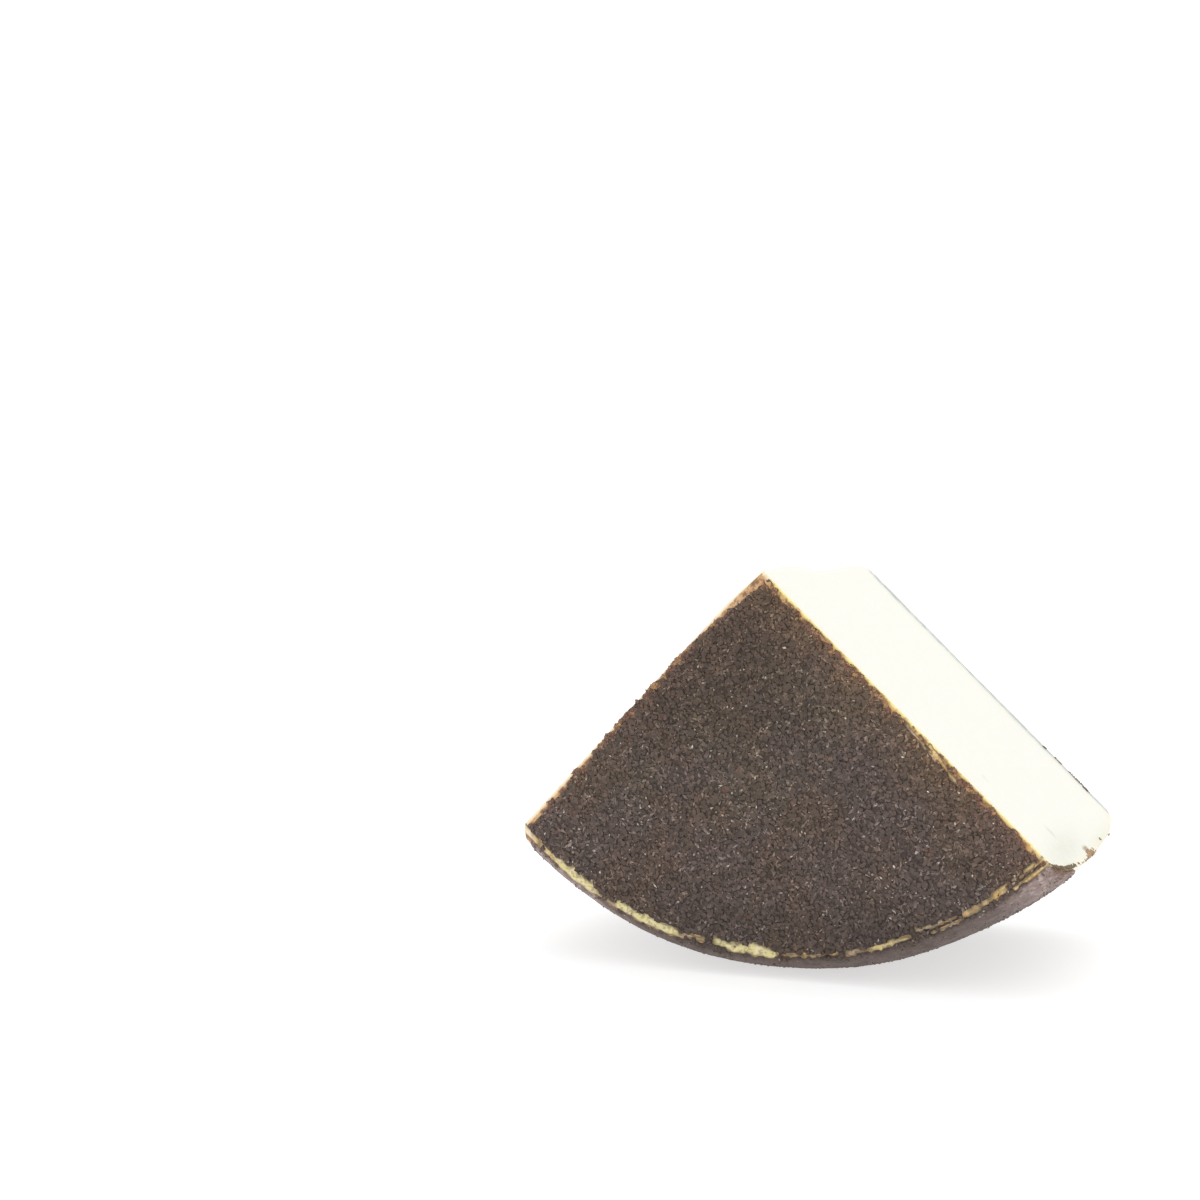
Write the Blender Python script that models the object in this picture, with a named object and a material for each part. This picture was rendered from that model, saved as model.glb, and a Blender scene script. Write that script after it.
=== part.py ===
"""A quarter of a pepper-coated pecorino wheel, standing on its rind.

The wheel is made first, as rings of points round its axis, with a flat top and bottom, rounded shoulders
and a bulging side. Two knife cuts then take the quarter out of it, and the largest flakes of cracked pepper
are fused to the coating. The quarter stands as such a piece does when it is set down: on the bulge of its
side, cut edges up, on a small flat spot where its own weight has pressed the rind.

Units are metres, and +Z is up. The origin is on the flat spot that the cheese rests on, below the middle
of the piece. The wheel's axis runs along Y, and the coated face at -Y is the front.
"""

import math
import random

import bmesh
import bpy
from mathutils import Matrix, Quaternion, Vector, noise

# The wheel
WHEEL_RADIUS = 0.120  # at the middle of its thickness, where the side bulges most
WHEEL_THICKNESS = 0.103
SIDE_BULGE = 0.009  # how far the side stands out past the flat faces' edge
BULGE_POWER = 2.56  # 2 is an ellipse; more makes the side flatter and the shoulders tighter
FACE_DOME = 0.0012  # the flat faces are a little higher in the middle

# The two knife cuts: angles from straight down, the front end of the tip, and how far each knife leaned
RIGHT_CUT_DEG = 46.2
LEFT_CUT_DEG = -43.3
TIP_X = -0.0043
TIP_ABOVE_AXIS = 0.0006
RIGHT_CUT_LEAN_DEG = 0.2
LEFT_CUT_LEAN_DEG = 3.6

# The front end of the tip is a little crushed
BLUNT_TIP_DEPTH = 0.0022
BLUNT_TIP_FACING = (-0.55, -0.50, 0.67)

# The front end of the rind's left corner is crushed too, back to a slanted plane through this point
BLUNT_CORNER_POINT = (-0.0793, -0.0480, 0.0370)
BLUNT_CORNER_FACING = (-0.93, -0.37, -0.10)

# Where the cheese rests
FLAT_SPOT_DEPTH = 0.0010

# The coating's relief
GRAIN_SPACING = 0.0033  # distance between the relief's points
GRAIN_HEIGHT = 0.00045  # each point stands this far in or out at most
SWELL_LENGTH = 0.035  # the slow unevenness of a hand-made wheel
SWELL_HEIGHT = 0.0007

# The largest flakes of cracked pepper
FLAKE_LENGTH = 0.0027
FLAKE_WIDTH = 0.0021
FLAKE_DEPTH = 0.0016
FLAKE_GAP = 0.0150  # least distance between two of them
FLAKE_EDGE_MARGIN = 0.0030  # they keep this far from the cuts
FLAKE_SIZE_SPREAD = 0.25
SEED = 11

CRUST_COLOUR = (0.090, 0.070, 0.056, 1.0)
CRUST_ROUGHNESS = 0.80
PASTE_COLOUR = (0.930, 0.900, 0.790, 1.0)
PASTE_ROUGHNESS = 0.50
CRUST_SLOT = 0
PASTE_SLOT = 1

AXIS_HEIGHT = WHEEL_RADIUS - FLAT_SPOT_DEPTH
FACE_RADIUS = WHEEL_RADIUS - SIDE_BULGE
HALF_THICKNESS = WHEEL_THICKNESS / 2
POINTS_PER_RING_STEP = 6  # ring k of a flat face has 6 k points, so that its triangles stay even


def clear_scene():
    """Starts from an empty scene."""
    for old in list(bpy.data.objects):
        bpy.data.objects.remove(old)


def plain_material(name, colour, roughness):
    """A Principled material of one colour."""
    material = bpy.data.materials.new(name)
    material.use_nodes = True
    shader = material.node_tree.nodes["Principled BSDF"]
    shader.inputs["Base Color"].default_value = colour
    shader.inputs["Roughness"].default_value = roughness
    shader.inputs["Metallic"].default_value = 0.0
    return material


def side_radius(y):
    """The wheel's radius at a distance y from the middle of its thickness."""
    share = min(1.0, abs(y) / HALF_THICKNESS)
    return FACE_RADIUS + SIDE_BULGE * (1 - share**BULGE_POWER) ** (1 / BULGE_POWER)


def side_rows():
    """The y of each row of points across the side, evenly spaced along its profile."""
    steps = 2000
    fine = [-HALF_THICKNESS * math.cos(math.pi * i / steps) for i in range(steps + 1)]
    length = [0.0]
    for a, b in zip(fine, fine[1:]):
        length.append(length[-1] + math.hypot(b - a, side_radius(b) - side_radius(a)))
    count = round(length[-1] / GRAIN_SPACING)
    rows, i = [], 0
    for k in range(1, count):
        while length[i] < length[-1] * k / count:
            i += 1
        rows.append(fine[i])
    return rows


def face_height(radius):
    """How far a flat face stands out at this radius, as a shallow dome."""
    return FACE_DOME * (1 - (radius / FACE_RADIUS) ** 2)


def ring(radius, y, count):
    """Points round the wheel's axis, which lies along Y."""
    return [
        Vector((
            radius * math.sin(2 * math.pi * i / count),
            y,
            AXIS_HEIGHT - radius * math.cos(2 * math.pi * i / count),
        ))
        for i in range(count)
    ]


def wheel_rings():
    """All rings of points, from the middle of the front face, over the side, to the middle of the back."""
    steps = round(FACE_RADIUS / GRAIN_SPACING)
    front = []
    for k in range(steps + 1):
        radius = FACE_RADIUS * k / steps
        count = max(1, POINTS_PER_RING_STEP * k)
        front.append(ring(radius, -HALF_THICKNESS - face_height(radius), count))
    side = [ring(side_radius(y), y, POINTS_PER_RING_STEP * steps) for y in side_rows()]
    back = [[Vector((p.x, -p.y, p.z)) for p in points] for points in reversed(front)]
    return front + side + back


def stitch(bm, first, second):
    """Joins two rings by triangles, whatever their counts, going round both at the same pace."""
    a, b = len(first), len(second)
    i = j = 0
    while i < a or j < b:
        if j >= b or (i < a and (i + 1) * b <= (j + 1) * a):
            corners = (first[i], second[j % b], first[(i + 1) % a])
            i += 1
        else:
            corners = (first[i % a], second[j], second[(j + 1) % b])
            j += 1
        if len(set(corners)) == 3:
            bm.faces.new(corners)


def roughened(point, outward, rng):
    """The point moved in or out by the wheel's slow unevenness and by the grain of the coating."""
    swell = noise.noise(point / SWELL_LENGTH) * SWELL_HEIGHT
    grain = rng.uniform(-1, 1) * GRAIN_HEIGHT
    return point + outward * (swell + grain)


def outward_at(point):
    """The direction in which the wheel's surface faces at a point on it."""
    from_axis = Vector((point.x, 0, point.z - AXIS_HEIGHT))
    if from_axis.length < FACE_RADIUS * 0.999:
        return Vector((0, math.copysign(1, point.y), 0))
    step = 0.0005
    slope = (side_radius(point.y + step) - side_radius(point.y - step)) / (2 * step)
    return (from_axis.normalized() - Vector((0, slope, 0))).normalized()


def make_wheel():
    """The whole wheel as one closed surface, with its coating's relief."""
    rng = random.Random(SEED)
    bm = bmesh.new()
    rings = [
        [bm.verts.new(roughened(p, outward_at(p), rng)) for p in points]
        for points in wheel_rings()
    ]
    for first, second in zip(rings, rings[1:]):
        stitch(bm, first, second)
    bmesh.ops.recalc_face_normals(bm, faces=bm.faces)
    for face in bm.faces:
        face.material_index = CRUST_SLOT
    return bm


def cut_plane(angle_deg, lean_deg, side):
    """A point on a knife cut and its normal, which points away from the quarter. side is 1 right, -1 left."""
    angle = math.radians(angle_deg)
    lean = math.radians(lean_deg)
    flat_normal = Vector((math.cos(angle), 0, math.sin(angle))) * side
    normal = flat_normal * math.cos(lean) + Vector((0, math.sin(lean), 0)) * (1 if side < 0 else -1)
    tip = Vector((TIP_X, -HALF_THICKNESS, AXIS_HEIGHT + TIP_ABOVE_AXIS))
    return tip, normal.normalized()


def blunt_tip_plane():
    """The small slanted plane that stands for the crushed front end of the tip."""
    tip = Vector((TIP_X, -HALF_THICKNESS - FACE_DOME, AXIS_HEIGHT + TIP_ABOVE_AXIS))
    facing = Vector(BLUNT_TIP_FACING).normalized()
    return tip - facing * BLUNT_TIP_DEPTH, facing


def blunt_corner_plane():
    """The small slanted plane that stands for the crushed left corner."""
    return Vector(BLUNT_CORNER_POINT), Vector(BLUNT_CORNER_FACING).normalized()


def cut_away(bm, point, normal, slot):
    """Cuts off what lies beyond the plane and closes the cut with one flat face of the slot's material."""
    everything = bm.verts[:] + bm.edges[:] + bm.faces[:]
    bmesh.ops.bisect_plane(
        bm, geom=everything, dist=1e-6, plane_co=point, plane_no=normal, clear_outer=True
    )
    rim = [edge for edge in bm.edges if edge.is_boundary]
    made = bmesh.ops.contextual_create(bm, geom=rim)
    for face in made["faces"]:
        face.material_index = slot
        face.normal_update()
        if face.normal.dot(normal) < 0:
            face.normal_flip()


def press_flat_spot(bm):
    """Lifts what reaches below the table to its surface."""
    for vertex in bm.verts:
        vertex.co.z = max(vertex.co.z, 0.0)


def object_from(bm, name, materials):
    """Puts the finished surface into the scene as an object."""
    mesh = bpy.data.meshes.new(name)
    bm.to_mesh(mesh)
    bm.free()
    for material in materials:
        mesh.materials.append(material)
    made = bpy.data.objects.new(name, mesh)
    bpy.context.scene.collection.objects.link(made)
    return made


def flake_places(wedge, cuts):
    """Points spread evenly over the coating, each with the direction that it faces."""
    rng = random.Random(SEED + 1)
    coated = {
        index
        for polygon in wedge.data.polygons
        if polygon.material_index == CRUST_SLOT
        for index in polygon.vertices
    }
    order = sorted(coated)
    rng.shuffle(order)
    kept = []
    for index in order:
        vertex = wedge.data.vertices[index]
        place = vertex.co.copy()
        if place.z < FLAKE_LENGTH:
            continue
        if any((place - point).dot(normal) > -FLAKE_EDGE_MARGIN for point, normal in cuts):
            continue
        if all((place - other).length > FLAKE_GAP for other, _ in kept):
            kept.append((place, vertex.normal.copy()))
    return kept


def make_flake(place, outward, rng, material, collection):
    """One shard of cracked pepper, lying half sunk in the coating."""
    bm = bmesh.new()
    bmesh.ops.create_icosphere(bm, subdivisions=1, radius=0.5)
    for vertex in bm.verts:
        vertex.co *= rng.uniform(0.85, 1.15)
    size = rng.uniform(1 - FLAKE_SIZE_SPREAD, 1 + FLAKE_SIZE_SPREAD)
    turn = Quaternion(outward, rng.uniform(0, 2 * math.pi)) @ outward.to_track_quat("Z", "Y")
    scale = Matrix.Diagonal((FLAKE_LENGTH * size, FLAKE_WIDTH * size, FLAKE_DEPTH * size, 1))
    bm.transform(Matrix.Translation(place) @ turn.to_matrix().to_4x4() @ scale)
    mesh = bpy.data.meshes.new("flake")
    bm.to_mesh(mesh)
    bm.free()
    mesh.materials.append(material)
    collection.objects.link(bpy.data.objects.new("flake", mesh))


def fuse_flakes(wedge, cuts, material):
    """Joins the flakes to the coating with one union, and removes the loose ones."""
    collection = bpy.data.collections.new("flakes")
    bpy.context.scene.collection.children.link(collection)
    rng = random.Random(SEED + 2)
    for place, outward in flake_places(wedge, cuts):
        make_flake(place, outward, rng, material, collection)
    union = wedge.modifiers.new("flakes", "BOOLEAN")
    union.operation = "UNION"
    union.operand_type = "COLLECTION"
    union.collection = collection
    union.solver = "EXACT"
    graph = bpy.context.evaluated_depsgraph_get()
    fused = bpy.data.meshes.new_from_object(wedge.evaluated_get(graph))
    wedge.modifiers.clear()
    wedge.data = fused
    for flake in list(collection.objects):
        bpy.data.objects.remove(flake)
    bpy.data.collections.remove(collection)


def centre_over_origin(wedge):
    """Moves the piece sideways so that its box is centred on the origin, with its lowest face at zero."""
    corners = [Vector(corner) for corner in wedge.bound_box]
    lowest = Vector(min(corner[axis] for corner in corners) for axis in range(3))
    highest = Vector(max(corner[axis] for corner in corners) for axis in range(3))
    middle = (lowest + highest) / 2
    wedge.data.transform(Matrix.Translation((-middle.x, -middle.y, -lowest.z)))


def main():
    """Makes the quarter of the wheel."""
    clear_scene()
    crust = plain_material("pepper_crust", CRUST_COLOUR, CRUST_ROUGHNESS)
    paste = plain_material("paste", PASTE_COLOUR, PASTE_ROUGHNESS)
    cuts = [
        cut_plane(RIGHT_CUT_DEG, RIGHT_CUT_LEAN_DEG, 1),
        cut_plane(LEFT_CUT_DEG, LEFT_CUT_LEAN_DEG, -1),
    ]
    bm = make_wheel()
    for point, normal in (*cuts, blunt_tip_plane()):
        cut_away(bm, point, normal, PASTE_SLOT)
    cut_away(bm, *blunt_corner_plane(), CRUST_SLOT)
    press_flat_spot(bm)
    wedge = object_from(bm, "pecorino_wedge", (crust, paste))
    fuse_flakes(wedge, cuts, crust)
    centre_over_origin(wedge)


main()
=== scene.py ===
"""The looks of a quarter wedge of pepper-coated pecorino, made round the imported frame.

The wedge stands on its rind with both cut faces up. Four kinds of thing make it: the paste, which is the
cheese itself with its dyed skin, the pepper crust, a granular shell over the skin, loose grains of cracked
pepper that are set in the crust, and crumbs of crust on the right cut. Where the crust has rubbed or chipped
off, it dips under the skin, so that the skin shows. Units are metres, +Z is up, the wheel's axis runs
along Y and the front face is at -Y.
"""

import logging
import math
from dataclasses import dataclass, field
from enum import Enum
from typing import Any, Iterator

import bpy
import numpy as np
from mathutils import Matrix, Vector, noise


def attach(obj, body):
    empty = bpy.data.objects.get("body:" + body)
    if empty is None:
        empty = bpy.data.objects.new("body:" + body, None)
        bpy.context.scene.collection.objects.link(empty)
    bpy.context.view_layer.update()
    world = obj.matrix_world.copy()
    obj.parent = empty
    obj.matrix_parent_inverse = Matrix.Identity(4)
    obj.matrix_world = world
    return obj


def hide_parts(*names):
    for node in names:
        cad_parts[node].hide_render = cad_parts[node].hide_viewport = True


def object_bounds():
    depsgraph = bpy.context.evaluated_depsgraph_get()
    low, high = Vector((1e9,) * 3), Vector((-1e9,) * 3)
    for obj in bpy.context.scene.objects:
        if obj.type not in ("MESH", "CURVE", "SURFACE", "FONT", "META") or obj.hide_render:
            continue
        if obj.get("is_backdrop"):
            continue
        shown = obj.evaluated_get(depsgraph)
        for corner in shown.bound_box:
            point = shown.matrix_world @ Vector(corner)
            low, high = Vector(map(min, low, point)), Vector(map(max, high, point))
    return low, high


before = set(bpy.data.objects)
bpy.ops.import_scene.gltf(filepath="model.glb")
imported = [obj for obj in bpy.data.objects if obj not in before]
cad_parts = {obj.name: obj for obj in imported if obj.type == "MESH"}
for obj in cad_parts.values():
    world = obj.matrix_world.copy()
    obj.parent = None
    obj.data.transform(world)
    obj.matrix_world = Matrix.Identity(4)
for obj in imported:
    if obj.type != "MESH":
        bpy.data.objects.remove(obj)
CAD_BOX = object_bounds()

LOG = logging.getLogger("pecorino")
NODE = "pecorino_wedge"
BODY = "root"
MM = 0.001
# Height plus this times x is even along the right cut.
RIGHT_CUT_SLOPE = 0.958
Colour = tuple[float, float, float]
Socket = bpy.types.NodeSocket


def smooth(low: float, high: float, value: np.ndarray) -> np.ndarray:
    """Rises smoothly from 0 at low to 1 at high."""
    t = np.clip((value - low) / (high - low), 0.0, 1.0)
    return t * t * (3 - 2 * t)


def noise_at(points: np.ndarray, length: float, seed: float = 0.0) -> np.ndarray:
    """Smooth noise between about -1 and 1.

    Args:
        points: positions, one row each.
        length: distance over which the noise changes.
        seed: shifts the pattern, so that two fields differ.

    Returns:
        One value for each point.
    """
    shift = Vector((seed * 13.1, seed * 7.7, seed * 3.3))
    return np.array([noise.noise(Vector(p) + shift) for p in points / length])


def unit(vectors: np.ndarray) -> np.ndarray:
    """The vectors, each scaled to length 1."""
    return vectors / np.linalg.norm(vectors, axis=-1, keepdims=True)


class Part(Enum):
    """The three stretches of the rind that a ring of points can lie on."""

    FRONT = -1
    SIDE = 0
    BACK = 1


@dataclass(frozen=True)
class Wheel:
    """The wheel that the wedge was cut from."""

    radius: float = 0.120
    thickness: float = 0.103
    side_bulge: float = 0.009
    bulge_power: float = 2.56
    face_dome: float = 0.0012
    flat_spot_depth: float = 0.0010
    axis_x: float = -0.00098
    swell_length: float = 0.035
    swell_height: float = 0.0007

    @property
    def half(self) -> float:
        """Half of the thickness."""
        return self.thickness / 2

    @property
    def face_radius(self) -> float:
        """Where a flat face ends and the shoulder begins."""
        return self.radius - self.side_bulge

    @property
    def axis(self) -> np.ndarray:
        """The axis's place in the XZ plane."""
        return np.array([self.axis_x, self.radius - self.flat_spot_depth])

    def side_radius(self, y: np.ndarray | float) -> np.ndarray | float:
        """The radius at a distance y from the middle of the thickness."""
        share = np.minimum(1.0, np.abs(y) / self.half)
        return self.face_radius + self.side_bulge * (1 - share**self.bulge_power) ** (1 / self.bulge_power)

    def side_slope(self, y: float) -> float:
        """How fast the radius changes along Y."""
        step = 0.0002
        return (self.side_radius(y + step) - self.side_radius(y - step)) / (2 * step)

    def face_height(self, radius: np.ndarray) -> np.ndarray:
        """How far a flat face stands out at this radius."""
        return self.face_dome * np.clip(1 - (radius / self.face_radius) ** 2, 0.0, 1.0)

    def side_stations(self, spacing: float) -> tuple[np.ndarray, np.ndarray]:
        """Places across the side, evenly spaced along its profile.

        Args:
            spacing: distance between two of them.

        Returns:
            The y of each, and its distance along the profile from the front shoulder.
        """
        y = -self.half * np.cos(np.linspace(0, math.pi, 4001))
        length = np.concatenate([[0], np.cumsum(np.hypot(np.diff(y), np.diff(self.side_radius(y))))])
        wanted = np.linspace(0, length[-1], round(length[-1] / spacing) + 1)[1:-1]
        return np.interp(wanted, length, y), wanted

    def side_length(self) -> float:
        """Length of the side's profile, from one shoulder to the other."""
        _, along = self.side_stations(MM)
        return along[-1] + along[0]

    def swell(self, points: np.ndarray) -> np.ndarray:
        """The slow unevenness of a wheel that was made by hand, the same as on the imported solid."""
        return noise_at(points - [self.axis_x, 0, 0], self.swell_length) * self.swell_height


@dataclass(frozen=True)
class KnifeCut:
    """One of the two flat cuts. side is 1 on the right and -1 on the left."""

    angle_deg: float
    lean_deg: float
    side: int

    @property
    def normal(self) -> np.ndarray:
        """The direction away from the wedge."""
        angle, lean = math.radians(self.angle_deg), math.radians(self.lean_deg)
        across = math.cos(lean) * self.side
        return np.array([across * math.cos(angle), -self.side * math.sin(lean), across * math.sin(angle)])

    @property
    def down(self) -> np.ndarray:
        """The direction in the cut, square to the wheel's axis, from the tip to the rind."""
        angle = math.radians(self.angle_deg)
        return np.array([math.sin(angle), 0.0, -math.cos(angle)])


@dataclass(frozen=True)
class Crush:
    """A corner that is a little crushed: what stands beyond a slanted plane is pressed back to it."""

    corner: tuple[float, float, float]
    facing: tuple[float, float, float]
    depth: float
    bare_reach: float

    def beyond(self, points: np.ndarray) -> np.ndarray:
        """How far each point stands beyond the plane."""
        direction = unit(np.array(self.facing))
        return (points - np.array(self.corner)) @ direction + self.depth

    def pressed(self, points: np.ndarray, deeper: np.ndarray | float) -> np.ndarray:
        """The points, with those beyond the plane pressed back to it, or deeper."""
        direction = unit(np.array(self.facing))
        return points - np.maximum(self.beyond(points) + deeper, 0.0)[:, None] * direction


@dataclass
class Ring:
    """Points of the rind at one station, from the left cut to the right cut."""

    points: np.ndarray
    normals: np.ndarray
    share: np.ndarray
    along: np.ndarray


@dataclass(frozen=True)
class WedgeForm:
    """Where the wedge's surface lies, before any relief."""

    wheel: Wheel = Wheel()
    left: KnifeCut = KnifeCut(-43.3, 3.6, -1)
    right: KnifeCut = KnifeCut(46.2, 0.2, 1)
    tip_x: float = -0.0043
    tip_above_axis: float = 0.0006
    ridge_wave: float = 0.0007
    ridge_wave_length: float = 0.062
    ridge_crest: float = 0.027

    @property
    def tip(self) -> np.ndarray:
        """The front end of the ridge where the two cuts meet."""
        wheel = self.wheel
        return np.array([wheel.axis_x + self.tip_x, -wheel.half, wheel.axis[1] + self.tip_above_axis])

    @property
    def cuts(self) -> tuple[KnifeCut, KnifeCut]:
        """The left cut and the right one."""
        return self.left, self.right

    @property
    def crushes(self) -> tuple[Crush, ...]:
        """The front ends of the tip and of the left corner, which are blunt."""
        front_tip = self.tip - [0, self.wheel.face_dome, 0]
        corner = (self.wheel.axis_x - 0.0793, -0.0480, 0.0370)
        return (
            Crush(tuple(front_tip), (-0.55, -0.50, 0.67), 0.0022, 3.2 * MM),
            Crush(corner, (-0.93, -0.37, -0.10), 0.0, 2.6 * MM),
        )

    def inside(self, cut: KnifeCut, points: np.ndarray) -> np.ndarray:
        """How deep each point lies inside a cut's plane."""
        return (self.tip - points) @ cut.normal

    def nearest_cut(self, points: np.ndarray) -> np.ndarray:
        """How deep each point lies inside the nearer of the two cuts."""
        return np.minimum(*(self.inside(cut, points) for cut in self.cuts))

    def ridge(self, y: float) -> np.ndarray:
        """Where the two cuts meet at this y, in the XZ plane."""
        rows = np.array([cut.normal[[0, 2]] for cut in self.cuts])
        level = [cut.normal @ self.tip - cut.normal[1] * y for cut in self.cuts]
        return np.linalg.solve(rows, level)

    def rim_point(self, cut: KnifeCut, y: float) -> np.ndarray:
        """Where a cut meets the side at this y."""
        start = self.ridge(y) - self.wheel.axis
        down = cut.down[[0, 2]]
        radius = self.wheel.side_radius(y)
        reach = -start @ down + math.sqrt((start @ down) ** 2 - start @ start + radius**2)
        place = self.wheel.axis + start + reach * down
        return np.array([place[0], y, place[1]])

    def rim_angle(self, cut: KnifeCut, y: float) -> float:
        """The angle round the wheel from straight down at which a cut meets the side."""
        place = self.rim_point(cut, y)
        return math.atan2(place[0] - self.wheel.axis[0], self.wheel.axis[1] - place[2])

    def angle_of(self, points: np.ndarray) -> np.ndarray:
        """The angle round the wheel of each point, from straight down, in degrees."""
        across = points[:, 0] - self.wheel.axis[0]
        return np.degrees(np.arctan2(across, self.wheel.axis[1] - points[:, 2]))

    def ring(self, part: Part, y: float, reach: float, along: float, spacing: float) -> Ring:
        """The points of the rind at one station.

        Args:
            part: which stretch of the rind it is.
            y: the side's y at this station; on a flat face, that of the shoulder.
            reach: share of the way from the ridge to the shoulder, 1 on the side.
            along: distance along the profile from the front shoulder, for the side.
            spacing: distance between two points, less near the cuts.

        Returns:
            The ring.
        """
        wheel = self.wheel
        first, last = self.rim_angle(self.left, y), self.rim_angle(self.right, y)
        radius = wheel.side_radius(y)
        share = graded(reach * radius * (last - first), spacing)
        angle = first + (last - first) * share
        outward = np.stack([np.sin(angle), -np.cos(angle)], axis=1)
        flat = self.ridge(y) + reach * (wheel.axis + radius * outward - self.ridge(y))
        if part is Part.SIDE:
            lean = np.full(len(angle), -wheel.side_slope(y))
            normals = np.stack([outward[:, 0], lean, outward[:, 1]], axis=1)
            depth = np.full(len(angle), y)
            profile = np.full(len(angle), along)
        else:
            distance = np.linalg.norm(flat - wheel.axis, axis=1)
            normals = np.tile([0.0, float(part.value), 0.0], (len(angle), 1))
            depth = part.value * (wheel.half + wheel.face_height(distance))
            profile = along + part.value * (wheel.face_radius - distance)
        points = np.stack([flat[:, 0], depth, flat[:, 1]], axis=1)
        return Ring(points, unit(normals), share, profile)

    def rings(self, spacing: float) -> list[Ring]:
        """All rings of the rind, from the tip in front, over the side, to the tip at the back."""
        wheel = self.wheel
        steps = round(wheel.face_radius / spacing)
        side_y, side_along = wheel.side_stations(spacing)
        whole = wheel.side_length()
        front = [self.ring(Part.FRONT, -wheel.half, k / steps, 0.0, spacing) for k in range(steps + 1)]
        side = [self.ring(Part.SIDE, y, 1.0, a, spacing) for y, a in zip(side_y, side_along)]
        back = [self.ring(Part.BACK, wheel.half, k / steps, whole, spacing) for k in range(steps, -1, -1)]
        return front + side + back


def graded(length: float, spacing: float) -> np.ndarray:
    """Shares of a length at which points stand, closer together near both ends."""
    if length < spacing / 4:
        return np.array([0.5])
    close = spacing * np.array([0.35, 0.8, 1.4, 2.1])
    if length < 3 * close[-1]:
        return np.linspace(0, 1, max(1, round(length / spacing)) + 1)
    middle = np.linspace(close[-1], length - close[-1], round((length - 2 * close[-1]) / spacing) + 1)
    places = np.concatenate([[0.0], close[:-1], middle, length - close[-2::-1], [length]])
    return places / length


@dataclass
class Shell:
    """A mesh in the making: points and triangles."""

    points: list[np.ndarray] = field(default_factory=list)
    faces: list[tuple[int, int, int]] = field(default_factory=list)
    count: int = 0

    def add(self, points: np.ndarray) -> np.ndarray:
        """Adds points and returns their numbers."""
        numbers = np.arange(self.count, self.count + len(points))
        self.points.append(points)
        self.count += len(points)
        return numbers

    def stitch(
        self, first: np.ndarray, second: np.ndarray, a: np.ndarray, b: np.ndarray, flip: bool
    ) -> None:
        """Joins two rows of points by triangles.

        Args:
            first: numbers of one row's points.
            second: numbers of the other row's points.
            a: place of each point of the first row along it.
            b: place of each point of the second row along it.
            flip: turns the triangles round.
        """
        i = j = 0
        while i < len(first) - 1 or j < len(second) - 1:
            if j == len(second) - 1 or (i < len(first) - 1 and a[i + 1] <= b[j + 1]):
                corners = (first[i], second[j], first[i + 1])
                i += 1
            else:
                corners = (first[i], second[j], second[j + 1])
                j += 1
            if len(set(corners)) == 3:
                self.faces.append(corners[::-1] if flip else corners)

    def sheet(self, rings: list[Ring], points: list[np.ndarray], flip: bool) -> list[np.ndarray]:
        """Joins rings into a sheet and returns each ring's numbers."""
        numbers = [self.add(p) for p in points]
        for k in range(len(rings) - 1):
            self.stitch(numbers[k], numbers[k + 1], rings[k].share, rings[k + 1].share, flip)
        return numbers

    def object(self, name: str, material: bpy.types.Material, smooth_shading: bool) -> bpy.types.Object:
        """Makes the finished object."""
        return mesh_object(name, np.concatenate(self.points), np.array(self.faces), material, smooth_shading)


def mesh_object(
    name: str, points: np.ndarray, faces: np.ndarray, material: bpy.types.Material, smooth_shading: bool
) -> bpy.types.Object:
    """Puts a triangle mesh into the scene.

    Args:
        name: the piece's name.
        points: one row for each vertex.
        faces: three vertex numbers for each triangle.
        material: the finish.
        smooth_shading: whether facets are hidden.

    Returns:
        The new object.
    """
    mesh = bpy.data.meshes.new(name)
    mesh.vertices.add(len(points))
    mesh.vertices.foreach_set("co", points.astype(np.float32).ravel())
    mesh.loops.add(faces.size)
    mesh.loops.foreach_set("vertex_index", faces.astype(np.int32).ravel())
    mesh.polygons.add(len(faces))
    mesh.polygons.foreach_set("loop_start", np.arange(0, faces.size, 3, dtype=np.int32))
    mesh.polygons.foreach_set("use_smooth", np.full(len(faces), smooth_shading))
    mesh.update(calc_edges=True)
    mesh.validate()
    mesh.materials.append(material)
    made = bpy.data.objects.new(name, mesh)
    bpy.context.scene.collection.objects.link(made)
    return made


def paint(piece: bpy.types.Object, name: str, values: np.ndarray) -> None:
    """Stores one number for each vertex, which the piece's material reads."""
    layer = piece.data.attributes.new(name, "FLOAT", "POINT")
    layer.data.foreach_set("value", values.astype(np.float32))


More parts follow.
